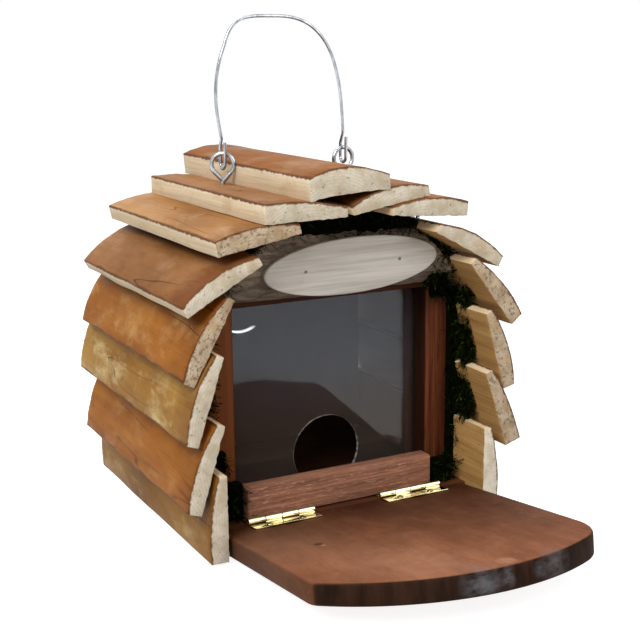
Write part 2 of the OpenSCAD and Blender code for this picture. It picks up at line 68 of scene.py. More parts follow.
def put(tree, kind, sockets=None, **settings):
    """A new shader node with its settings and sockets."""
    node = tree.nodes.new(kind if kind.startswith("Node") else "ShaderNode" + kind)
    for key, value in settings.items():
        setattr(node, key, value)
    feed(tree, node, sockets or {})
    return node


def ramp(tree, value, *stops):
    """Colours laid out along a value."""
    node = put(tree, "ValToRGB", {"Fac": value})
    elements = node.color_ramp.elements
    while len(elements) < len(stops):
        elements.new(1)
    for element, (place, colour) in zip(elements, stops):
        element.position = place
        element.color = colour
    return node.outputs["Color"]


def mixed(tree, share, first, second, way="MIX"):
    """Two colours mixed by a share."""
    node = put(tree, "Mix", {0: share, 6: first, 7: second}, data_type="RGBA", blend_type=way)
    return node.outputs[2]


def within(tree, value, low, high, start=0.0, end=1.0):
    """A value moved from one span to another, and held inside it."""
    span = {"Value": value, "From Min": low, "From Max": high, "To Min": start, "To Max": end}
    return put(tree, "MapRange", span).outputs["Result"]


def sum_of(tree, first, second, way="ADD"):
    """Two values added, multiplied or compared."""
    return put(tree, "Math", {0: first, 1: second}, operation=way).outputs[0]


def speckle(tree, place, stretch, detail=3.0, rough=0.6, twist=0.0):
    """A noise value with its own stretch along each axis."""
    moved = put(tree, "Mapping", {"Vector": place, "Scale": stretch}).outputs["Vector"]
    given = {"Vector": moved, "Scale": 1.0, "Detail": detail, "Roughness": rough, "Distortion": twist}
    return put(tree, "TexNoise", given).outputs["Fac"]


def relief(tree, height, strength, depth):
    """A bumped normal from a height."""
    given = {"Height": height, "Strength": strength, "Distance": depth}
    return put(tree, "Bump", given).outputs["Normal"]


def place_on(tree):
    """Where each point of a piece lies, in metres."""
    return put(tree, "TexCoord").outputs["Object"]


def axes(tree, place):
    """A place taken apart into X, Y and Z."""
    return put(tree, "SeparateXYZ", {"Vector": place}).outputs


def new_material(name):
    """A material, its tree and its shader."""
    made = bpy.data.materials.new(name)
    made.use_nodes = True
    return made, made.node_tree, made.node_tree.nodes["Principled BSDF"]


def new_group(name, sockets):
    """A node group with its sockets, and its input and output nodes."""
    group = bpy.data.node_groups.new(name, "ShaderNodeTree")
    for way, kind, label in sockets:
        group.interface.new_socket(label, in_out=way, socket_type="NodeSocket" + kind)
    return group, put(group, "NodeGroupInput").outputs, put(group, "NodeGroupOutput")


long_grain, given, result = new_group("long_grain", (
    ("INPUT", "Vector", "Place"), ("OUTPUT", "Float", "Streaks"),
    ("OUTPUT", "Float", "Pores"), ("OUTPUT", "Float", "Patches")))
wide = speckle(long_grain, given["Place"], (170, 7, 170), 5, 0.6, 0.5)
fine = speckle(long_grain, given["Place"], (900, 22, 900), 3, 0.7)
streaks = sum_of(long_grain, sum_of(long_grain, wide, 0.6, "MULTIPLY"),
                 sum_of(long_grain, fine, 0.4, "MULTIPLY"))
pores = within(long_grain, speckle(long_grain, given["Place"], (1600, 70, 1600), 2), 0.56, 0.70)
patches = speckle(long_grain, given["Place"], (24, 9, 24), 4)
feed(long_grain, result, {"Streaks": streaks, "Pores": pores, "Patches": patches})

# Masks for painted shade: the inside of the chamber, its walls, and the slat undersides under the back
# eaves.
chamber, given, result = new_group("chamber", (
    ("INPUT", "Vector", "Place"), ("OUTPUT", "Float", "Inside"), ("OUTPUT", "Float", "Walls"),
    ("OUTPUT", "Float", "Eaves")))
shade_start, shade_full = -0.042, -0.034
floor_top, panel_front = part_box("base_board")[1].z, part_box("back_panel")[0].y
shade_blend_step = 0.0002
wall_x, wall_top = 0.0778, 0.118
eaves_start, eaves_end = 0.070, 0.078
apart = axes(chamber, given["Place"])
behind = sum_of(chamber, within(chamber, apart["Y"], shade_start, shade_full),
                within(chamber, apart["Z"], floor_top - 5 * shade_blend_step, floor_top - shade_blend_step), "MULTIPLY")
before = within(chamber, apart["Y"], panel_front + shade_blend_step, panel_front + 3 * shade_blend_step, 1.0, 0.0)
depth = sum_of(chamber, behind, before, "MULTIPLY")
walls = sum_of(chamber, sum_of(chamber, apart["X"], 0.0, "ABSOLUTE"), wall_x, "LESS_THAN")
walls = sum_of(chamber, walls, sum_of(chamber, apart["Z"], wall_top, "LESS_THAN"), "MULTIPLY")
eaves = sum_of(chamber, behind, within(chamber, apart["Y"], eaves_start, eaves_end, 1.0, 0.0), "MULTIPLY")
feed(chamber, result, {"Inside": depth, "Walls": sum_of(chamber, depth, walls, "MULTIPLY"),
                       "Eaves": eaves})

along_x = (0, 0, math.radians(90))
along_y = (0, 0, 0)
along_z = (math.radians(-90), 0, 0)


def grain_on(tree, place, turn):
    """The grain of planed wood, with its fibres along one axis."""
    turned = put(tree, "Mapping", {"Vector": place, "Rotation": turn}).outputs["Vector"]
    return put(tree, "Group", {"Place": turned}, node_tree=long_grain).outputs


def stained(name, turn, light, dark, shine=0.45, pored=0.6, shade_and_bark_line=0.85):
    """Stained softwood with its grain along one axis, darkened with painted shade towards the chamber."""
    made, tree, shader = new_material(name)
    place = place_on(tree)
    lines = grain_on(tree, place, turn)
    colour = ramp(tree, lines["Streaks"], (0.36, dark), (0.62, light))
    colour = mixed(tree, within(tree, lines["Patches"], 0.4, 0.65, 0.0, 0.55), colour, dark)
    colour = mixed(tree, sum_of(tree, lines["Pores"], pored, "MULTIPLY"), colour, paint(38, 20, 15))
    # Painted shade: inside the chamber the wood is darkened almost to black.
    inside = put(tree, "Group", {"Place": place}, node_tree=chamber).outputs["Inside"]
    colour = mixed(tree, sum_of(tree, inside, shade_and_bark_line, "MULTIPLY"), colour, paint(24, 15, 12))
    bumpy = relief(tree, lines["Streaks"], 0.5, 0.0006)
    feed(tree, shader, {"Base Color": colour, "Normal": bumpy, "Specular IOR Level": 0.1,
                        "Roughness": within(tree, lines["Patches"], 0.3, 0.7, shine, shine + 0.15)})
    return made


def coated(node, skin):
    """Gives a CAD node that shows as it is its one material."""
    skins = frame["nodes"][node].data.materials
    skins.clear()
    skins.append(skin)


board_light, board_dark = paint(118, 70, 42), paint(66, 38, 24)
# The last number of each board is how strongly painted shade darkens it inside the chamber.
for node, turn, shade_and_bark_line in (("base_board", along_x, 0.65), ("back_panel", along_z, 0.85),
                          ("front_former", along_z, 0.3)):
    coated(node, stained(node + "_stain", turn, board_light, board_dark, shade_and_bark_line=shade_and_bark_line))


# Jambs and top rail
# Planed softwood strips in a redder stain, glued round the window in front of the former.
# Their edges are a little worn by sanding.
def pick(piece):
    """Makes a piece the only one selected, and the active one."""
    bpy.ops.object.select_all(action="DESELECT")
    piece.select_set(True)
    bpy.context.view_layer.objects.active = piece


def eased(piece, ease, sharp=30, steps=2):
    """Rounds the sharp edges of a piece and smooths its shading."""
    pick(piece)
    bpy.ops.object.mode_set(mode="EDIT")
    bpy.ops.mesh.select_mode(type="EDGE")
    bpy.ops.mesh.select_all(action="DESELECT")
    bpy.ops.mesh.edges_select_sharp(sharpness=math.radians(sharp))
    bpy.ops.mesh.bevel(offset=ease, segments=steps, affect="EDGES")
    bpy.ops.mesh.select_all(action="SELECT")
    bpy.ops.mesh.normals_make_consistent(inside=False)
    bpy.ops.object.mode_set(mode="OBJECT")
    bpy.ops.object.shade_smooth_by_angle(angle=math.radians(35))


def block(low, high):
    """A cube drawn out between two corners."""
    bpy.ops.object.select_all(action="DESELECT")
    bpy.ops.mesh.primitive_cube_add(size=1, location=(low + high) / 2)
    piece = bpy.context.object
    piece.scale = high - low
    bpy.ops.object.transform_apply()
    return piece


def board(name, node, ease):
    """A sawn strip: a block at the node's size and place, its edges eased."""
    piece = block(*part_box(node))
    piece.name = name
    eased(piece, ease)
    return piece


def linked(name, data):
    """A new object of the scene."""
    piece = bpy.data.objects.new(name, data)
    bpy.context.scene.collection.objects.link(piece)
    return piece


def traced(name, node, ease, steps=2):
    """A piece of odd outline: the node's own faces, merged, with its edges eased."""
    piece = linked(name, frame["nodes"][node].data.copy())
    pick(piece)
    bpy.ops.object.mode_set(mode="EDIT")
    bpy.ops.mesh.select_all(action="SELECT")
    bpy.ops.mesh.remove_doubles(threshold=0.000002)
    bpy.ops.mesh.dissolve_limited(angle_limit=math.radians(2))
    bpy.ops.object.mode_set(mode="OBJECT")
    if ease:
        eased(piece, ease, steps=steps)
    return piece


def fitted(piece, body, slot, nodes, *skins):
    """Gives a piece its materials and its body, and hides the CAD nodes that it stands for."""
    while len(piece.data.materials) < len(skins):
        piece.data.materials.append(None)
    for index, skin in enumerate(skins):
        piece.data.materials[index] = skin
    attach(piece, body)
    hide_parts(*nodes)


def opened(made):
    """The tree of a finished stain, its shader and the colour that feeds it."""
    tree = made.node_tree
    shader = tree.nodes["Principled BSDF"]
    return tree, shader, shader.inputs["Base Color"].links[0].from_socket


jamb_stain = stained("jamb_stain", along_z, paint(124, 66, 38), paint(62, 30, 16), 0.5)
tree, shader, colour = opened(jamb_stain)
apart = axes(tree, place_on(tree))
reveal_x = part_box("right_jamb")[0].x + shade_blend_step
reveal_blend = 3 * shade_blend_step
# Painted shade: the inner faces of the posts, in the window's reveal, are darkened almost to black.
aside = sum_of(tree, apart["X"], 0.0, "ABSOLUTE")
reveal_shade = within(tree, aside, reveal_x, reveal_x + reveal_blend, 0.85, 0.0)
# Painted light: the left post, in the shade of the slats, is lightened.
colour = mixed(tree, within(tree, apart["X"], 0.0, 0.01, 0.25, 0.0), colour, paint(176, 104, 52))
feed(tree, shader, {"Base Color": mixed(tree, reveal_shade, colour, paint(14, 7, 3))})
for side in ("left", "right"):
    fitted(board(side + "_window_post", side + "_jamb", 0.0007), "house", "stained_wood",
           [side + "_jamb"], jamb_stain)
# The head's stain is a darker copy of the posts' stain: painted shade under the log.
fitted(traced("window_head", "top_rail", 0.0006), "house", "stained_wood", ["top_rail"],
       stained("rail_stain_in_shade", along_x, paint(82, 45, 24), paint(44, 24, 12), 0.5))


# Window
# Clear acrylic sheet, cut to size, with a round feeding hole sawn in it. It is held
# between the frame and the former. Its sawn edges are frosted. A painted glint, a bright
# crescent, and white dust specks glow on its face.
def away_from(tree, place, spot):
    """How far each place lies from one spot."""
    return put(tree, "VectorMath", {0: place, 1: spot}, operation="DISTANCE").outputs["Value"]


pane = traced("window_sheet", "window_panel", 0.0001, 1)
for face in pane.data.polygons:
    face.material_index = int(abs(face.normal.y) < 0.5)

clear_sheet, tree, shader = new_material("clear_acrylic")
place = place_on(tree)
smears = speckle(tree, place, (35, 35, 60), 4, 0.6, 1.0)
ripples = speckle(tree, place, (26, 26, 20), 1, 0.4)
# Painted highlight: a crescent glint between two circles, made to glow white through the emission.
glint_r, glint_mid = 0.0140, Vector((-0.0475, -0.039, 0.1200))
glint_shift = Vector((-0.0003, 0, 0.0010))
glint_end, glint_gone = 0.1078, 0.1092
below_arc = sum_of(tree, away_from(tree, place, glint_mid), glint_r, "LESS_THAN")
above_arc = sum_of(tree, away_from(tree, place, glint_mid + glint_shift), glint_r, "GREATER_THAN")
height = axes(tree, place)["Z"]
painted_glint = sum_of(tree, sum_of(tree, below_arc, above_arc, "MULTIPLY"),
                 within(tree, height, glint_end, glint_gone, 1.0, 0.0), "MULTIPLY")
dust_full, dust_gone = 0.050, 0.085
# Dust specks, made to glow white as painted highlights.
dust_glints = within(tree, speckle(tree, place, (700, 700, 700), 2, 0.5), 0.78, 0.84, 0.0, 0.25)
haze = ramp(tree, smears, (0.4, paint(208, 214, 228)), (0.7, paint(224, 229, 240)))
haze = mixed(tree, within(tree, height, dust_full, dust_gone, 0.85, 0.0), haze, paint(222, 204, 188))
feed(tree, shader, {"Base Color": haze,
                    "Roughness": within(tree, smears, 0.45, 0.75, 0.0, 0.03), "IOR": 1.34,
                    "Transmission Weight": 0.972, "Normal": relief(tree, ripples, 0.35, 0.002),
                    "Emission Color": mixed(tree, sum_of(tree, painted_glint, dust_glints, "MAXIMUM"), (0, 0, 0, 1),
                                            (0.9, 0.95, 1, 1)), "Emission Strength": 0.8})
cut_sheet, tree, shader = new_material("sawn_acrylic")
place = place_on(tree)
scores = speckle(tree, place, (500, 200, 500), 3)
frost = ramp(tree, scores, (0.40, paint(60, 56, 52)), (0.60, paint(214, 218, 220)))
feed(tree, shader, {"Base Color": frost,
                    "Roughness": within(tree, scores, 0.3, 0.7, 0.35, 0.6), "Transmission Weight": 0.5})
fitted(pane, "house", "clear_sheet", ["window_panel"], clear_sheet, cut_sheet)


# Sill strip
# A strip of rough-sawn softwood in the same stain, which takes it unevenly. It lies on the
# hinge leaves across the foot of the window.
sill = board("window_sill", "sill_strip", 0.0008)
rough_sawn, tree, shader = new_material("rough_sawn_stain")
place = place_on(tree)
lines = grain_on(tree, place, along_x)
fibres = speckle(tree, place, (160, 1500, 1500), 4, 0.75)
colour = ramp(tree, lines["Streaks"], (0.36, paint(108, 66, 46)), (0.62, paint(180, 122, 92)))
colour = mixed(tree, within(tree, fibres, 0.54, 0.66, 0.0, 0.75), colour, paint(216, 166, 134))
colour = mixed(tree, sum_of(tree, lines["Pores"], 0.5, "MULTIPLY"), colour, paint(60, 32, 25))
feed(tree, shader, {"Base Color": colour, "Roughness": within(tree, fibres, 0.3, 0.7, 0.6, 0.85),
                    "Normal": relief(tree, fibres, 0.8, 0.0008)})
fitted(sill, "house", "stained_wood", ["sill_strip"], rough_sawn)


# Lintel log
# A split half of a thin branch with its bark on, nailed over the window head. The bark is
# grey-brown, rough and cracked along the branch.
def celled(piece, cell):
    """Rebuilds a piece of even small faces, so that its skin can be roughened."""
    pick(piece)
    remesh = piece.modifiers.new("cells", "REMESH")
    remesh.mode = "VOXEL"
    remesh.voxel_size = cell
    bpy.ops.object.modifier_apply(modifier=remesh.name)


bark_cell, bark_rough, split_depth = 0.0011, 0.0007, 0.001
lintel = traced("lintel_half_log", "lintel_log", 0)
celled(lintel, bark_cell)
split_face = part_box("lintel_log")[1].y - split_depth
for vertex in lintel.data.vertices:
    x, y, z = vertex.co
    ridges = noise.fractal(Vector((x * 45, y * 160, z * 160)), 0.9, 2.1, 4)
    dents = noise.noise(Vector((x * 30, y * 60, z * 60)))
    if y < split_face:
        vertex.co += vertex.normal * (bark_rough * ridges + bark_rough * dents)
bpy.ops.object.shade_smooth()

log_bark, tree, shader = new_material("log_bark")
place = place_on(tree)
plates = speckle(tree, place, (60, 240, 240), 6, 0.7, 0.6)
flecks = speckle(tree, place, (500, 900, 900), 3, 0.7)
moulds = speckle(tree, place, (30, 30, 40), 3)
colour = ramp(tree, plates, (0.34, paint(66, 55, 46)), (0.48, paint(120, 104, 88)),
              (0.66, paint(166, 149, 129)))
colour = mixed(tree, within(tree, flecks, 0.5, 0.7, 0.0, 0.6), colour, paint(74, 60, 50))
colour = mixed(tree, within(tree, moulds, 0.55, 0.7, 0.0, 0.35), colour, paint(118, 112, 96))
feed(tree, shader, {"Base Color": colour, "Roughness": within(tree, plates, 0.3, 0.7, 0.7, 0.9),
                    "Normal": relief(tree, sum_of(tree, plates, flecks), 0.8, 0.0012)})
fitted(lintel, "house", "grey_bark", ["lintel_log"], log_bark)


# Plaque and its pins
# A thin oval of pale planed wood, left bare, held to the log by two small pins.
plaque = traced("oval_plaque", "name_plaque", 0.0006, 3)
pale_wood, tree, shader = new_material("pale_planed_wood")
place = place_on(tree)
lines = grain_on(tree, place, along_x)
colour = ramp(tree, lines["Streaks"], (0.34, paint(158, 150, 138)), (0.62, paint(201, 196, 187)))
colour = mixed(tree, within(tree, lines["Patches"], 0.45, 0.65, 0.0, 0.4), colour, paint(210, 202, 190))
feed(tree, shader, {"Base Color": colour, "Roughness": within(tree, lines["Patches"], 0.3, 0.7, 0.5, 0.65),
                    "Normal": relief(tree, lines["Streaks"], 0.4, 0.0004), "Specular IOR Level": 0.2})
fitted(plaque, "house", "pale_wood", ["name_plaque"], pale_wood)

pin_steel, tree, shader = new_material("dull_pin")
place = place_on(tree)
spots = speckle(tree, place, (900, 900, 900), 3)
pin_tone = ramp(tree, spots, (0.35, paint(84, 70, 50)), (0.65, paint(150, 128, 92)))
feed(tree, shader, {"Base Color": pin_tone, "Metallic": 1.0,
                    "Roughness": within(tree, spots, 0.3, 0.7, 0.35, 0.55)})
coated("plaque_pins", pin_steel)


# Slats and their nails
# Slabs sawn off thin logs: the outer face is the varnished log under its bark, with a dark
# line of bark along the edges, and the sawn underside, sides and ends are pale. Painted
# shade darkens the sawn faces inside the chamber and under the back eaves, and painted
# light brightens one end.
band_dark, band_gone = -0.080, -0.060
bark_line, bark_line_gone = 0.0006, 0.0013
speck, hair, thinnest = 0.00001, 0.0001, 0.0005


def bark_face(name, seed, light, middle, dark, pale, band, scuffed):
    """The varnished outer face of one slat: clouds, streaks, cracks, scuffs and a few knots."""
    made, tree, shader = new_material(name)
    coordinates = put(tree, "TexCoord").outputs
    place = put(tree, "Mapping", {"Vector": coordinates["Object"],
                                  "Location": (0.37 * seed, 0.21 * seed, 0.0)}).outputs["Vector"]
    lines = put(tree, "Group", {"Place": place}, node_tree=long_grain).outputs
    clouds = speckle(tree, place, (24, 9, 24), 4, 0.5, 0.3)
    colour = ramp(tree, clouds, (0.30, dark), (0.45, middle), (0.62, light))
    colour = mixed(tree, within(tree, lines["Streaks"], 0.50, 0.36, 0.0, 0.4), colour, dark)
    mottle = speckle(tree, place, (130, 60, 130), 4, 0.6)
    colour = mixed(tree, within(tree, mottle, 0.50, 0.68, 0.0, 0.3), colour, dark)
    pales = speckle(tree, place, (48, 26, 48), 5, 0.62, 0.3)
    rubbed = sum_of(tree, within(tree, pales, 0.52, 0.66, 0.0, scuffed),
                    within(tree, mottle, 0.6, 0.42, 0.3, 1.0), "MULTIPLY")
    colour = mixed(tree, rubbed, colour, pale)
    knots = put(tree, "TexVoronoi", {
        "Vector": put(tree, "Mapping", {"Vector": place, "Scale": (30, 14, 30)}).outputs["Vector"],
        "Scale": 1.0}).outputs
    chosen = sum_of(tree, put(tree, "SeparateColor", {"Color": knots["Color"]}).outputs["Red"], 0.8,
                    "GREATER_THAN")
    spot = sum_of(tree, within(tree, knots["Distance"], 0.03, 0.09, 1.0, 0.0), chosen, "MULTIPLY")
    colour = mixed(tree, sum_of(tree, spot, 0.8, "MULTIPLY"), colour, paint(66, 36, 16))
    vein = sum_of(tree, speckle(tree, place, (46, 4, 46), 2, 0.5, 0.1), 0.5, "SUBTRACT")
    crack = sum_of(tree, within(tree, sum_of(tree, vein, 0.0, "ABSOLUTE"), 0.0, 0.006, 1.0, 0.0),
                   within(tree, clouds, 0.44, 0.54, 1.0, 0.0), "MULTIPLY")
    colour = mixed(tree, crack, colour, paint(70, 40, 20))
    flecks = within(tree, speckle(tree, place, (420, 150, 420), 2, 0.6), 0.69, 0.75, 0.0, 0.6)
    colour = mixed(tree, flecks, colour, paint(72, 42, 22))
    forward = axes(tree, coordinates["Object"])["Y"]
    frayed = sum_of(tree, forward, within(tree, pales, 0.3, 0.7, -0.012, 0.012))
    colour = mixed(tree, within(tree, frayed, band_dark, band_gone, band, 0.0), colour, paint(104, 56, 22))
    over = axes(tree, coordinates["UV"])["X"]
    rim = sum_of(tree, over, sum_of(tree, 1.0, over, "SUBTRACT"), "MINIMUM")
    broken = sum_of(tree, rim, within(tree, mottle, 0.3, 0.7, -0.02, 0.02))
    colour = mixed(tree, within(tree, broken, 0.006, 0.028, 0.85, 0.0), colour, paint(80, 43, 15))
    hollow = sum_of(tree, sum_of(tree, lines["Streaks"], crack, "SUBTRACT"), flecks, "SUBTRACT")
    feed(tree, shader, {"Base Color": colour, "Normal": relief(tree, hollow, 0.3, 0.0006),
                        "Coat Weight": 0.03, "Coat Roughness": 0.14, "Specular IOR Level": 0.05,
                        "Roughness": within(tree, pales, 0.35, 0.65, 0.55, 0.4)})
    return made


def sawn_face(name, light, dark, grey, shaded="Walls", ringed=False):
    """Pale sawn wood under a line of bark, with grey specks, darkened with painted shade towards the
    chamber.
    """
    made, tree, shader = new_material(name)
    coordinates = put(tree, "TexCoord").outputs
    place, chart = coordinates["Object"], coordinates["UV"]
    lines = put(tree, "Group", {"Place": chart}, node_tree=long_grain).outputs
    rings = put(tree, "TexWave", {"Vector": chart, "Scale": 200.0, "Distortion": 2.5, "Detail": 2.0,
                                  "Detail Scale": 0.6}, wave_type="RINGS" if ringed else "BANDS",
                rings_direction="Z", bands_direction="X").outputs["Fac"]
    clouds = speckle(tree, place, (120, 120, 120), 4)
    grain = clouds if ringed else lines["Streaks"]
    colour = ramp(tree, grain, (0.36, dark), (0.60, light))
    colour = mixed(tree, within(tree, rings, 0.6, 1.0, 0.0, 0.45 if ringed else 0.2), colour, dark)
    least = 0.66 - 0.12 * grey
    specks = within(tree, speckle(tree, place, (560, 560, 560), 3, 0.6), least, least + 0.08, 0.0, 0.75)
    colour = mixed(tree, specks, colour, paint(122, 100, 76))
    blots = within(tree, speckle(tree, place, (70, 40, 70), 3), 0.56, 0.7, 0.0, 0.35 + 0.3 * grey)
    colour = mixed(tree, blots, colour, paint(188, 152, 104))
    below = put(tree, "Attribute", attribute_name="below_bark").outputs["Fac"]
    torn = within(tree, speckle(tree, place, (330, 330, 330), 3, 0.6), 0.3, 0.7, -0.0005, 0.0005)
    shade_and_bark_line = within(tree, sum_of(tree, below, torn), bark_line, bark_line_gone, 0.95, 0.0)
    colour = mixed(tree, shade_and_bark_line, colour, paint(92, 48, 16))
    # Painted shade: inside the chamber, or under the back eaves, the sawn wood is darkened almost to black.
    inside = put(tree, "Group", {"Place": place}, node_tree=chamber).outputs[shaded]
    colour = mixed(tree, sum_of(tree, inside, 0.9, "MULTIPLY"), colour, paint(26, 16, 12))
    bumpy = relief(tree, sum_of(tree, grain, specks, "SUBTRACT"), 0.5, 0.0006)
    feed(tree, shader, {"Base Color": colour, "Normal": bumpy, "Specular IOR Level": 0.25,
                        "Roughness": within(tree, lines["Patches"], 0.3, 0.7, 0.65, 0.85)})
    return made


def end_outline(node):
    """The corners of a slat's front end, in order round it."""
    points = [vertex.co for vertex in frame["nodes"][node].data.vertices]
    front = min(point.y for point in points) + speck
    corners = [Vector(c) for c in {(round(p.x, 5), round(p.z, 5)) for p in points if p.y < front}]
    middle = sum(corners, Vector((0, 0))) / len(corners)
    return sorted(corners, key=lambda c: math.atan2(c.y - middle.y, c.x - middle.x))


def height_at(face, u):
    """How thick a slat is at one place across it."""
    for (start, low), (end, high) in zip(face, face[1:]):
        if u <= end:
            return low + (high - low) * max(0, u - start) / max(end - start, speck)
    return face[-1][1]


def raised(piece, height):
    """Draws a flat piece up to a height, with its faces outward."""
    pick(piece)
    bpy.ops.object.mode_set(mode="EDIT")
    bpy.ops.mesh.select_all(action="SELECT")
    bpy.ops.mesh.extrude_region_move(TRANSFORM_OT_translate={"value": (0, 0, height)})
    bpy.ops.mesh.select_all(action="SELECT")
    bpy.ops.mesh.normals_make_consistent(inside=False)
    bpy.ops.object.mode_set(mode="OBJECT")


bark, low_side, sawn_end, bottom, top_side = range(5)
face_rise, face_swell, face_bumps = 0.0004, 0.0004, 0.0002
ridge_rim, side_wander, end_wander = 0.0014, 0.0014, 0.0003
top_torn, bottom_torn, slat_ease = 0.0003, 0.0007, 0.0004


def slat(name, node, side, seed, skins):
    """One slab, laid where its node lies: a grid, raised to its thickness and crowned."""
    outline = end_outline(node)
    flat = max(zip(outline, outline[1:] + outline[:1]), key=lambda pair: (pair[1] - pair[0]).length)
    upper, lower = sorted(flat, key=lambda c: side * c.x - c.y)
    across = (lower - upper).normalized()
    out = side * Vector((-across.y, across.x))
    width = (lower - upper).length
    places = [((c - upper).dot(across), (c - upper).dot(out)) for c in outline]
    face = sorted(p for p in places if p[1] > thinnest)
    low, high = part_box(node)
    length = high.y - low.y

    bpy.ops.object.select_all(action="DESELECT")
    bpy.ops.mesh.primitive_grid_add(x_subdivisions=20, y_subdivisions=44, size=1,
                                    location=(width / 2, length / 2, 0))
    piece = bpy.context.object
    piece.name = name
    piece.scale = (width, length, 1)
    bpy.ops.object.transform_apply()
    raised(piece, face[0][1])
    for vertex in piece.data.vertices:
        u, w = vertex.co.x, vertex.co.y
        lean = u / width - 0.5
        if vertex.co.z > hair:
            swell = noise.noise(Vector((u * 40, w * 11, seed)))
            bumps = noise.noise(Vector((u * 150, w * 35, seed + 5)))
            vertex.co.z = height_at(face, u) + face_rise + face_swell * swell + face_bumps * bumps
        elif node == "ridge_slat":
            vertex.co.z -= ridge_rim * (2 * lean) ** 4
        wander = noise.noise(Vector((w * 28, 3 * round(lean), seed + vertex.co.z * 60)))
        vertex.co.x += side_wander * lean * wander
        if w < hair or w > length - hair:
            vertex.co.y += end_wander * noise.noise(Vector((u * 90, vertex.co.z * 200, seed + w)))
            torn = top_torn if vertex.co.z > hair else bottom_torn
            vertex.co.z += torn * noise.noise(Vector((u * 700, 0, seed + w)))
    eased(piece, slat_ease, 45)
    depths = [height_at(face, vertex.co.x) + face_rise - vertex.co.z for vertex in piece.data.vertices]
    piece.data.attributes.new("below_bark", "FLOAT", "POINT").data.foreach_set("value", depths)

    chart = piece.data.uv_layers.active.data
    heart = Vector((width * (0.3 + 0.4 * (0.37 * seed % 1)), -0.018 - 0.006 * (seed % 3)))
    for polygon in piece.data.polygons:
        normal = polygon.normal
        if abs(normal.y) > 0.7:
            kind = sawn_end
        elif abs(normal.z) > 0.55:
            kind = bark if normal.z > 0 else bottom
        else:
            kind = top_side if normal.x < 0 else low_side
        polygon.material_index = kind
        for corner in polygon.loop_indices:
            u, w, v = piece.data.vertices[piece.data.loops[corner].vertex_index].co
            laid = ((u / width, w), (v + seed, w), (u - heart.x, v - heart.y), (u + seed, w), (v + seed, w))
            chart[corner].uv = laid[kind]
    along = Vector((0, side, 0))
    start = Vector((upper.x, low.y if side > 0 else high.y, upper.y))
    rows = zip((across.x, 0, across.y), along, (out.x, 0, out.y), start)
    piece.matrix_world = Matrix([*rows, (0, 0, 0, 1)])
    pick(piece)
    bpy.ops.object.transform_apply()
    fitted(piece, "house", "bark_slat", [node], *skins)


cream_side = sawn_face("cream_sawn_side", paint(236, 221, 192), paint(212, 190, 154), 0.1)
grey_side = sawn_face("speckled_sawn_side", paint(236, 218, 186), paint(200, 176, 140), 0.85)
cream_end = sawn_face("cream_sawn_end", paint(216, 206, 186), paint(190, 174, 148), 0.25, ringed=True)
grey_end = sawn_face("speckled_sawn_end", paint(200, 181, 154), paint(168, 144, 114), 1.0, ringed=True)
# Painted light: a lighter copy of the cream end, for the end of the lowest right slab, which lies in shade.
lightened_end = sawn_face("lightened_sawn_end", paint(240, 231, 212), paint(214, 200, 176), 0.15, ringed=True)
# These two are also darkened with painted shade under the back eaves.
upper_side = sawn_face("sawn_upper_side", paint(240, 218, 180), paint(212, 184, 144), 0.1, "Eaves")
underside = sawn_face("sawn_underside", paint(204, 162, 100), paint(158, 114, 62), 0.25, "Eaves")

orange = (paint(169, 107, 35), paint(148, 87, 21), paint(112, 59, 14), paint(192, 146, 82))
tan = (paint(178, 134, 88), paint(160, 114, 66), paint(132, 86, 42), paint(188, 154, 116))
russet = (paint(144, 88, 30), paint(128, 74, 20), paint(98, 53, 12), paint(160, 122, 84))
brown = (paint(154, 108, 68), paint(136, 91, 50), paint(104, 64, 31), paint(170, 132, 96))
olive = (paint(170, 128, 58), paint(150, 104, 36), paint(117, 75, 22), paint(204, 178, 122))
slat_looks = (
    ("ridge_slat", 1, russet, 0.2, 0.6, cream_side, cream_end),
    ("left_slat_1", -1, brown, 0.2, 0.3, cream_side, cream_end),
    ("left_slat_2", -1, tan, 0.6, 0.5, cream_side, grey_end),
    ("left_slat_3", -1, brown, 0.8, 0.3, cream_side, cream_end),
    ("left_slat_4", -1, orange, 0.3, 0.6, grey_side, grey_end),
    ("left_slat_5", -1, olive, 0.5, 0.9, cream_side, cream_end),
    ("left_slat_6", -1, orange, 0.3, 0.3, cream_side, cream_end),
    ("left_slat_7", -1, olive, 0.3, 0.4, cream_side, cream_end),
    ("right_slat_1", 1, brown, 0.4, 0.4, cream_side, cream_end),
    ("right_slat_2", 1, orange, 0.3, 0.4, cream_side, cream_end),
    ("right_slat_3", 1, tan, 0.4, 0.5, cream_side, cream_end),
    ("right_slat_4", 1, brown, 0.3, 0.4, cream_side, grey_end),
    ("right_slat_5", 1, olive, 0.3, 0.6, cream_side, grey_end),
    ("right_slat_6", 1, orange, 0.4, 0.4, cream_side, grey_end),
    ("right_slat_7", 1, tan, 0.3, 0.4, cream_side, lightened_end),
)
for seed, (node, side, tones, band, scuffed, edge, end) in enumerate(slat_looks):
    slat(node.replace("slat", "slab"), node, side, 1.0 * seed,
         (bark_face(node + "_bark", seed, *tones, band, scuffed), edge, end, underside,
          edge if node == "ridge_slat" else upper_side))

zinc, tree, shader = new_material("bright_zinc")
place = place_on(tree)
bloom = speckle(tree, place, (300, 300, 120), 3)
plating = ramp(tree, bloom, (0.35, paint(136, 142, 148)), (0.65, paint(196, 200, 205)))
feed(tree, shader, {"Base Color": plating, "Metallic": 0.95,
                    "Roughness": within(tree, bloom, 0.3, 0.7, 0.12, 0.24)})
coated("slat_nails", zinc)


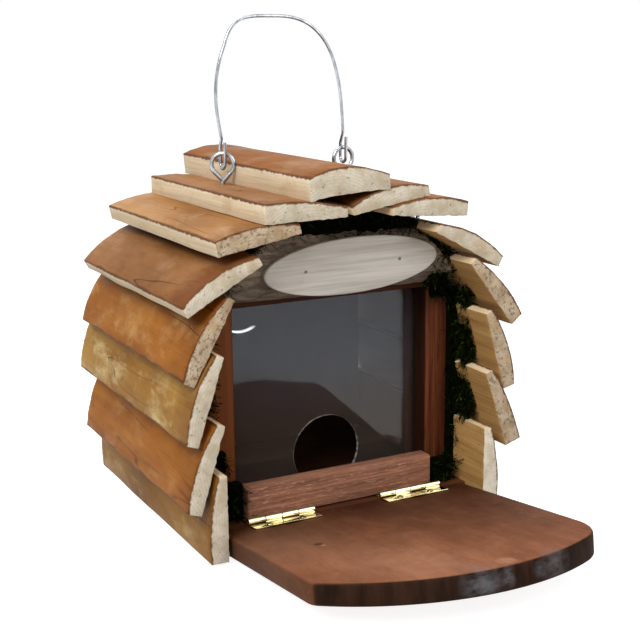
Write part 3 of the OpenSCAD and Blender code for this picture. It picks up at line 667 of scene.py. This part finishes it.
# Moss
# Dried moss pushed into the hollows between the frame and the slats: a dark matted core
# with loose feathery sprigs standing out of it to the front. The core's near-black tone is
# moss colour with painted shade of the hollows, and its beds also fill shaded gaps by the
# sill and the log.
def joined(pieces):
    """Joins pieces into the first of them."""
    pick(pieces[0])
    for piece in pieces:
        piece.select_set(True)
    bpy.ops.object.join()
    return pieces[0]


leaf_long, sprig_long, sprig_curl, sprig_tip = 0.0011, 0.009, 0.0012, 8
bpy.ops.object.select_all(action="DESELECT")
leaflets = []
for step in range(sprig_tip + 1):
    reach = leaf_long * step
    swing = (-1) ** step * math.radians(48 - 5 * step) if step < sprig_tip else 0
    bpy.ops.mesh.primitive_circle_add(vertices=4, radius=leaf_long, fill_type="NGON")
    leaflet = bpy.context.object
    leaflet.scale = (0.28, 1.25, 1)
    bpy.ops.object.transform_apply()
    leaflet.location = (-math.sin(swing) * leaf_long, reach + math.cos(swing) * leaf_long,
                        sprig_curl * (reach / sprig_long) ** 2)
    leaflet.rotation_euler = (math.radians(18), math.radians(25) * (-1) ** step, swing)
    leaflets.append(leaflet)
sprig = joined(leaflets)
bpy.ops.object.transform_apply()
sprig_points = [vertex.co.copy() for vertex in sprig.data.vertices]
sprig_faces = [list(face.vertices) for face in sprig.data.polygons]
bpy.data.objects.remove(sprig)

moss_green, tree, shader = new_material("dried_moss")
place = place_on(tree)
tone = put(tree, "Attribute", attribute_name="tone").outputs["Fac"]
mottle = speckle(tree, place, (260, 260, 260), 4)
colour = ramp(tree, tone, (0.0, paint(7, 8, 3)), (0.45, paint(14, 20, 5)), (0.75, paint(38, 56, 11)),
              (1.0, paint(108, 126, 42)))
colour = mixed(tree, within(tree, mottle, 0.5, 0.7, 0.0, 0.5), colour, paint(24, 20, 9))
feed(tree, shader, {"Base Color": colour, "Roughness": within(tree, mottle, 0.3, 0.7, 0.75, 0.95),
                    "Specular IOR Level": 0.0, "Normal": relief(tree, mottle, 0.8, 0.001)})
# Painted shade: the matted core is near-black.
moss_cell, moss_rough, core_tone_in_shade = 0.0014, 0.0011, 0.18
root_deep, bed_skin = 0.004, 0.001


def moss(name, node, seed, count, front_y, beds):
    """The matted core of one moss node and of the beds beside it, with sprigs up to a front plane."""
    core = traced(name, node, 0)
    for low, high in beds:
        joined([core, block(Vector(low), Vector(high))])
    celled(core, moss_cell)
    for vertex in core.data.vertices:
        vertex.co += vertex.normal * moss_rough * noise.noise(vertex.co * 320)
    source = frame["nodes"][node].data
    dice = random.Random(seed)
    front = [face for face in source.polygons if face.normal.y < -0.5]
    weights = [face.area for face in front]
    points, faces, tones = [], [], []
    for index in range(count):
        if index % 3:
            face = dice.choices(front, weights)[0]
            a, b = sorted((dice.random(), dice.random()))
            corners = [source.vertices[i].co for i in face.vertices]
            root = corners[0] * a + corners[1] * (b - a) + corners[2] * (1 - b)
            root = root + Vector((0, dice.uniform(0, root_deep), 0))
        else:
            low, high = dice.choice(beds)
            root = Vector((dice.uniform(low[0], high[0]), low[1] + bed_skin, dice.uniform(low[2], high[2])))
        aim = Vector((dice.uniform(-0.9, 0.9), dice.uniform(-1.0, -0.1), dice.uniform(-0.9, 0.7)))
        turn = aim.to_track_quat("Y", "Z").to_matrix() @ Matrix.Rotation(dice.uniform(0, 6.28), 3, "Y")
        size = dice.uniform(0.45, 0.95)
        first = len(points)
        grown = [root + turn @ (point * size) for point in sprig_points]
        points += [Vector((point.x, max(point.y, front_y), point.z)) for point in grown]
        faces += [[first + i for i in face] for face in sprig_faces]
        shade = dice.uniform(0.1, 0.75) ** 1.2 + (0.3 if dice.random() < 0.04 else 0)
        tones += [min(1, shade * (0.7 + 50 * point.y)) for point in sprig_points]
    tuft = bpy.data.meshes.new(name + "_sprigs")
    tuft.from_pydata(points, [], faces)
    tuft.attributes.new("tone", "FLOAT", "POINT").data.foreach_set("value", tones)
    core.data.materials.clear()
    core_tones = [core_tone_in_shade] * len(core.data.vertices)
    core.data.attributes.new("tone", "FLOAT", "POINT").data.foreach_set("value", core_tones)
    joined([core, linked(name + "_sprigs", tuft)])
    core.data.materials.clear()
    fitted(core, "house", "moss", [node], moss_green)


moss("left_moss_tufts", "left_moss", 3, 560, -0.064,
     [((-0.0760, -0.048, 0.014), (-0.0712, -0.038, 0.112)),
      ((-0.0650, -0.0575, 0.0122), (-0.0565, -0.0515, 0.032)),
      ((-0.0710, -0.0540, 0.0370), (-0.0640, -0.0500, 0.049))])
moss("right_moss_tufts", "right_moss", 5, 1500, -0.064,
     [((0.0716, -0.053, 0.014), (0.0790, -0.038, 0.066)),
      ((0.0716, -0.053, 0.060), (0.0775, -0.038, 0.118)),
      ((0.0600, -0.053, 0.116), (0.0700, -0.040, 0.136)),
      ((0.0565, -0.0575, 0.0122), (0.0720, -0.0515, 0.024))])
moss("top_moss_tufts", "top_moss", 9, 1100, -0.0630,
     [((-0.034, -0.060, 0.156), (0.034, -0.042, 0.164)),
      ((0.004, -0.060, 0.150), (0.046, -0.050, 0.158)),
      ((0.054, -0.060, 0.124), (0.0665, -0.050, 0.137)),
      ((0.049, -0.060, 0.136), (0.058, -0.050, 0.149))])


# Screw eyes and wire handle
# Zinc-plated wire. Each screw eye is one wire bent to a ring over its shank, and the
# handle is a thinner wire whose ends are hooked round the tops of the two rings.
def bent_wire(name, points, thick):
    """A round wire along a row of points, turned into a mesh."""
    line = bpy.data.curves.new(name, "CURVE")
    line.dimensions = "3D"
    line.bevel_depth = thick / 2
    line.bevel_resolution = 3
    line.use_fill_caps = True
    run = line.splines.new("POLY")
    run.points.add(len(points) - 1)
    for spot, point in zip(run.points, points):
        spot.co = (*point, 1)
    pick(linked(name, line))
    bpy.ops.object.convert(target="MESH")
    bpy.ops.object.shade_smooth_by_angle(angle=math.radians(50))
    return bpy.context.object


pivots = {joint["name"]: Vector(joint["pos_m"]) for joint in frame["joints"]}
axle = pivots["handle_swing"]
eye_x, eye_wire, eye_shift, eye_drop = 0.037, 0.0024, 0.0010, 0.0008
ring_steps, ring_start, ring_sweep, ring_lead = 48, -56, 292, 0.0006
neck_in = ((0, 0, -0.0028), (0.0006, 0, -0.0022), (0.0020, 0, -0.0008))
neck_out = ((-0.0020, 0.0003, -0.0006), (-0.0006, 0.0003, -0.0020))
for side, way, facing in (("left", -1, -28), ("right", 1, 4)):
    low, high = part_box(side + "_screw_eye")
    ring_r = (high.x - low.x - eye_wire) / 2
    centre = Vector((way * eye_x + eye_shift, axle.y, high.z - eye_drop - eye_wire / 2 - ring_r))
    foot = Vector((0, 0, -ring_r))
    path = [Vector((0, 0, low.z - centre.z))] + [foot + Vector(bend) for bend in neck_in]
    for step in range(ring_steps + 1):
        share = step / ring_steps
        turn = math.radians(ring_start + ring_sweep * share)
        path.append(Vector((ring_r * math.cos(turn), ring_lead * (share - 0.5), ring_r * math.sin(turn))))
    path += [foot + Vector(bend) for bend in neck_out]
    twist = Matrix.Rotation(math.radians(facing), 3, "Z")
    eye = bent_wire(side + "_ring_eye", [centre + twist @ point for point in path], eye_wire)
    fitted(eye, "house", "zinc_wire", [side + "_screw_eye"], zinc)

handle_wire, peak_x, peak_rise = 0.0018, -0.004, 0.071
hook_r, hook_long, hook_steps = 0.0031, 0.0060, 24
hook_shank, hook_tail = ((0.0004, 0.0052), (0.0003, 0.0026)), 0.0015
leg_foot, leg_steps = 0.0055, 60
path = []
for way, power, flare in ((1, 2.6, -0.0005), (-1, 4.4, 0.0031)):
    foot_x = way * eye_x + eye_shift
    half = [Vector((foot_x, axle.y - hook_r - before, axle.z + over)) for before, over in hook_shank]
    for step in range(hook_steps + 1):
        turn = math.pi * (1 + step / hook_steps)
        half.append(Vector((foot_x, axle.y + hook_r * math.cos(turn),
                            axle.z - hook_long + hook_r * math.sin(turn))))
    half.append(Vector((foot_x, axle.y + hook_r, axle.z + hook_tail)))
    for step in range(leg_steps):
        lift = math.sin(math.pi / 2 * (step + 1) / leg_steps)
        up = axle.z + leg_foot + (peak_rise - leg_foot) * lift
        share = max(0.0, 1 - lift ** power) ** (1 / power)
        bulge = flare * math.sin(math.pi * min(1, 1.3 * lift))
        half.append(Vector((peak_x + (foot_x - peak_x) * share + way * bulge, axle.y, up)))
    path = half if way > 0 else path + half[::-1][1:]
handle = bent_wire("carrying_handle", path, handle_wire)
fitted(handle, "handle", "zinc_wire", ["wire_handle"], zinc)


# Hinges
# Two brass butt hinges, bright from the press: rolled knuckles round a pin, one leaf under
# the sill and the other on the platform, held by small cross-head screws. A painted highlight
# makes the knuckles near-white, and painted shade darkens the leaves and screws in patches.
hinge = pivots["platform_fold"]
knuckle_r, knuckle_blend = 0.0020, 0.0004
brass, tree, shader = new_material("bright_brass")
place = place_on(tree)
tarnish_highlight_and_shade = speckle(tree, place, (70, 150, 150), 2, 0.5)
apart = axes(tree, place)
beside = put(tree, "CombineXYZ", {"Y": apart["Y"], "Z": apart["Z"]}).outputs["Vector"]
away = away_from(tree, beside, hinge)
# Painted highlight on the knuckles, and painted shade in patches on the leaves away from the pin.
colour = ramp(tree, tarnish_highlight_and_shade, (0.35, paint(236, 226, 184)), (0.65, paint(250, 245, 224)))
leaf_shade_tone = ramp(tree, tarnish_highlight_and_shade, (0.42, paint(120, 100, 44)), (0.58, paint(238, 226, 178)))
colour = mixed(tree, within(tree, away, knuckle_r, knuckle_r + knuckle_blend), colour, leaf_shade_tone)
feed(tree, shader, {"Base Color": colour, "Metallic": 1.0,
                    "Roughness": within(tree, tarnish_highlight_and_shade, 0.3, 0.7, 0.10, 0.18)})
leaf_ease = 0.00012
for side in ("left", "right"):
    for label, leaf, body in (("base", "fixed", "house"), ("platform", "moving", "platform")):
        node = side + "_hinge_" + leaf + "_leaf"
        fitted(traced(side + "_" + label + "_leaf", node, leaf_ease, 1), body, "brass", [node], brass)
for node in ("left_hinge_pin", "right_hinge_pin", "fixed_leaf_screws"):
    coated(node, brass)

tilt = math.radians(7.5)
drop, leaf_thick = 0.00235, 0.001
head_r, shank_r, screw_long, dome, head_seat = 0.0019, 0.001, 0.0068, 0.0007, 0.0002
slot_long, slot_wide, slot_deep = 0.0022, 0.00045, 0.0009
screw_y, screw_turn = -0.006, 0.7
bpy.ops.object.select_all(action="DESELECT")
bpy.ops.mesh.primitive_cylinder_add(vertices=24, radius=shank_r, depth=screw_long,
                                    location=(0, 0, -screw_long / 2 - head_seat))
screw = bpy.context.object
bpy.ops.object.transform_apply()
bpy.ops.object.mode_set(mode="EDIT")
bpy.ops.mesh.select_mode(type="FACE")
bpy.ops.mesh.select_all(action="DESELECT")
bpy.ops.object.mode_set(mode="OBJECT")
for face in screw.data.polygons:
    face.select = face.normal.z > 0.9
bpy.ops.object.mode_set(mode="EDIT")
for rise, width in ((head_seat, head_r / shank_r), (dome * 0.45, 0.90), (dome * 0.35, 0.76),
                    (dome * 0.2, 0.45)):
    bpy.ops.mesh.extrude_region_move(TRANSFORM_OT_translate={"value": (0, 0, rise)})
    bpy.ops.transform.resize(value=(width, width, 1))
bpy.ops.object.mode_set(mode="OBJECT")
for turn in (0, math.pi / 2):
    bpy.ops.object.select_all(action="DESELECT")
    bpy.ops.mesh.primitive_cube_add(size=1, location=(0, 0, dome), rotation=(0, 0, turn))
    cutter = bpy.context.object
    cutter.scale = (slot_long, slot_wide, slot_deep)
    bpy.ops.object.transform_apply()
    pick(screw)
    cross = screw.modifiers.new("cross_slot", "BOOLEAN")
    cross.operation = "DIFFERENCE"
    cross.object = cutter
    bpy.ops.object.modifier_apply(modifier=cross.name)
    bpy.data.objects.remove(cutter)
bpy.ops.object.shade_smooth_by_angle(angle=math.radians(40))
screws = []
for side in ("left", "right"):
    low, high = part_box(side + "_hinge_moving_leaf")
    for share in (0.25, 0.75):
        copy = linked("leaf_screw", screw.data.copy())
        spot = Vector((low.x + share * (high.x - low.x), screw_y, leaf_thick - drop))
        copy.matrix_world = (Matrix.Translation(hinge) @ Matrix.Rotation(-tilt, 4, "X")
                             @ Matrix.Translation(spot) @ Matrix.Rotation(screw_turn * len(screws), 4, "Z"))
        screws.append(copy)
bpy.data.objects.remove(screw)
leaf_screws = joined(screws)
bpy.ops.object.transform_apply()
leaf_screws.name = "platform_leaf_screws"
fitted(leaf_screws, "platform", "brass", ["moving_leaf_screws"], brass)


# Platform
# A softwood board with its edges rounded over, stained all round; the grain runs to the
# front, so the front is end grain and darkest; painted shade darkens the front and the sides
# further. Paws have smudged it pale.
half_w, reach, thick, bow_x, bow_r, left_r, right_r = 0.074, 0.136, 0.0105, 0.010, 0.1145, 0.009, 0.026
bow_mid = Vector((bow_x, reach - bow_r))
wedge, wedge_lean, deck_ease = 0.0013, 0.0007, 0.0018
rear_y, rear_spare = -0.06535, 0.006


def corner(way, radius):
    """The middle of one round front corner, and the direction in which it runs into the bow."""
    x = way * (half_w - radius)
    middle = Vector((x, bow_mid.y + math.sqrt((bow_r - radius) ** 2 - (x - bow_mid.x) ** 2)))
    return middle, math.atan2(middle.y - bow_mid.y, middle.x - bow_mid.x)


def arc(middle, radius, start, end, steps):
    """Points round an arc, without its last one."""
    turns = [start + (end - start) * step / steps for step in range(steps)]
    return [middle + radius * Vector((math.cos(turn), math.sin(turn))) for turn in turns]


right_mid, right_meet = corner(1, right_r)
left_mid, left_meet = corner(-1, left_r)
outline = [Vector((-half_w, -rear_spare)), Vector((half_w, -rear_spare))]
outline += arc(right_mid, right_r, 0, right_meet, 12) + arc(bow_mid, bow_r, right_meet, left_meet, 30)
outline += arc(left_mid, left_r, left_meet, math.pi, 8) + [Vector((-half_w, left_mid.y))]
sheet = bpy.data.meshes.new("feeding_platform")
sheet.from_pydata([(x, -y, -drop - thick) for x, y in outline], [], [range(len(outline))])
deck = linked("feeding_platform", sheet)
raised(deck, thick)
for vertex in deck.data.vertices:
    if vertex.co.z < -drop - thick / 2:
        vertex.co.z += vertex.co.y / reach * (wedge + wedge_lean * vertex.co.x / half_w)
eased(deck, deck_ease, 40, 4)


def share_along(value, start, span):
    """How far a value has come along a span, from 0 to 1."""
    return min(1, max(0, value - start) / span)


# The edge tone: 0.55 on the sides, which is painted shade, and 1 on the front, end grain darkened with
# painted shade.
facing = [vertex.normal for vertex in deck.data.vertices]
edges = [max(0.55 * share_along(abs(n.x), 0.3, 0.5), share_along(-n.y, 0.35, 0.25)) for n in facing]
deck.data.attributes.new("edge_stain_and_shade", "FLOAT", "POINT").data.foreach_set("value", edges)
deck.matrix_world = Matrix.Translation(hinge) @ Matrix.Rotation(-tilt, 4, "X")
bpy.ops.object.transform_apply()
bpy.ops.object.mode_set(mode="EDIT")
bpy.ops.mesh.select_all(action="SELECT")
bpy.ops.mesh.bisect(plane_co=(0, rear_y, 0), plane_no=(0, 1, 0), use_fill=True, clear_outer=True)
bpy.ops.object.mode_set(mode="OBJECT")

# Each mark and smudge has its place, its radius, its strength and its tone
bluish, buff, knot_and_shade_dark = paint(136, 138, 143), paint(186, 140, 112), paint(44, 22, 13)
# The small dark mark is a knot; the broad dark ones, by the hinge, at the left rear corner and over the
# right half, are painted shade.
marks = (
    ((-0.0435, -0.1195, 0.0179), 0.0022, 1.5, buff),
    ((-0.0443, -0.1168, 0.0179), 0.0026, 4.0, knot_and_shade_dark),
    ((0.0086, -0.1935, 0.0279), 0.0055, 1.1, buff),
    ((-0.0170, -0.1804, 0.0261), 0.030, 0.3, buff),
    ((-0.0339, -0.1570, 0.0231), 0.034, 0.25, buff),
    ((-0.0600, -0.1050, 0.0160), 0.045, 0.3, buff),
    ((-0.0580, -0.0740, 0.0120), 0.024, 0.15, knot_and_shade_dark),
    ((0.0620, -0.1200, 0.0180), 0.075, 0.5, knot_and_shade_dark),
    ((0.0000, -0.0680, 0.0120), 0.030, 0.4, knot_and_shade_dark),
)
smudges = (
    ((-0.0072, -0.1998, 0.0227), 0.0125, 0.45, bluish),
    ((0.0050, -0.2010, 0.0262), 0.0040, 0.5, bluish),
    ((0.0056, -0.2010, 0.0215), 0.0040, 0.5, bluish),
    ((0.0330, -0.1990, 0.0233), 0.0110, 0.35, bluish),
    ((0.0230, -0.2003, 0.0235), 0.0050, 0.3, bluish),
)
broad = 0.03
deck_stain = stained("platform_stain", along_y, paint(148, 96, 68), paint(122, 77, 54), 0.6, 0.15)
tree, shader, colour = opened(deck_stain)
place = place_on(tree)
edge = put(tree, "Attribute", attribute_name="edge_stain_and_shade").outputs["Fac"]
ragged = speckle(tree, place, (110, 110, 200), 4, 0.6)
clouds = speckle(tree, place, (55, 40, 55), 5, 0.65, 0.4)
colour = mixed(tree, within(tree, clouds, 0.46, 0.64, 0.0, 0.4), colour, paint(96, 58, 40))
colour = mixed(tree, within(tree, clouds, 0.44, 0.34, 0.0, 0.25), colour, paint(162, 112, 84))
specks = within(tree, speckle(tree, place, (900, 500, 900), 2, 0.5), 0.70, 0.76, 0.0, 0.5)
colour = mixed(tree, specks, colour, paint(190, 150, 124))
fibres = speckle(tree, place, (170, 170, 25), 4, 0.6)
end_grain_and_shade = ramp(tree, fibres, (0.35, paint(30, 18, 11)), (0.65, paint(52, 33, 22)))
for group, shade in ((marks, None), (smudges, end_grain_and_shade)):
    colour = mixed(tree, edge, colour, shade) if shade else colour
    for spot, size, strength, tone in group:
        least = 0.0 if size < broad else 0.6 * strength
        mask = sum_of(tree, within(tree, away_from(tree, place, spot), 0.1 * size, size, 1.0, 0.0),
                      within(tree, ragged, 0.34, 0.62, least, strength), "MULTIPLY")
        colour = mixed(tree, mask, colour, tone)
feed(tree, shader, {"Base Color": colour, "Specular IOR Level": 0.05})
fitted(deck, "platform", "stained_wood", ["platform_board"], deck_stain)


# Studio
# A plain white floor under soft lamps, and the camera where the photo was taken from.
floor_white, tree, shader = new_material("white_floor")
feed(tree, shader, {"Base Color": (0.45, 0.45, 0.45, 1), "Roughness": 0.9, "Specular IOR Level": 0.0,
                    "Emission Color": (1, 1, 1, 1)})


def straight_on(tree):
    """One for a ray that comes from the camera, a mirror or a glass, and nothing for other rays."""
    seen = put(tree, "LightPath").outputs
    mirrored = sum_of(tree, seen["Is Glossy Ray"], seen["Is Transmission Ray"], "MAXIMUM")
    return sum_of(tree, seen["Is Camera Ray"], mirrored, "MAXIMUM")


feed(tree, shader, {"Emission Strength": sum_of(tree, straight_on(tree), 0.88, "MULTIPLY")})
bpy.ops.object.select_all(action="DESELECT")
bpy.ops.mesh.primitive_plane_add(size=8)
floor = bpy.context.object
floor.name = "floor"
floor.data.materials.append(floor_white)

world = bpy.data.worlds.new("studio")
bpy.context.scene.world = world
world.use_nodes = True
tree = world.node_tree
strength = within(tree, straight_on(tree), 0, 1, 0.32, 1.0)
feed(tree, tree.nodes["Background"], {"Color": (1, 1, 1, 1), "Strength": strength})


def lamp(name, place, aim, size, power):
    """A soft square lamp."""
    light = bpy.data.lights.new(name, "AREA")
    light.size = size
    light.energy = power
    piece = linked(name, light)
    piece.location = place
    piece.rotation_euler = (Vector(aim) - Vector(place)).to_track_quat("-Z", "Y").to_euler()


lamp("key_lamp", (-0.9, -0.8, 1.1), (0, 0, 0.1), 0.8, 19)
lamp("fill_lamp", (0.8, -1.1, 0.8), (0, -0.05, 0.1), 0.9, 5.5)
lamp("top_lamp", (-0.2, 0.3, 1.5), (0, 0, 0.1), 1.0, 10.5)

lens = bpy.data.cameras.new("camera")
lens.sensor_width = 36
lens.lens = 68.1
camera = linked("camera", lens)
camera.matrix_world = Matrix(((0.88380, 0.11086, -0.45454, -0.2952),
                              (-0.46778, 0.19143, -0.86286, -0.5968),
                              (-0.00865, 0.97522, 0.22104, 0.2506),
                              (0, 0, 0, 1)))
bpy.context.scene.camera = camera
bpy.context.scene.view_settings.view_transform = "Standard"
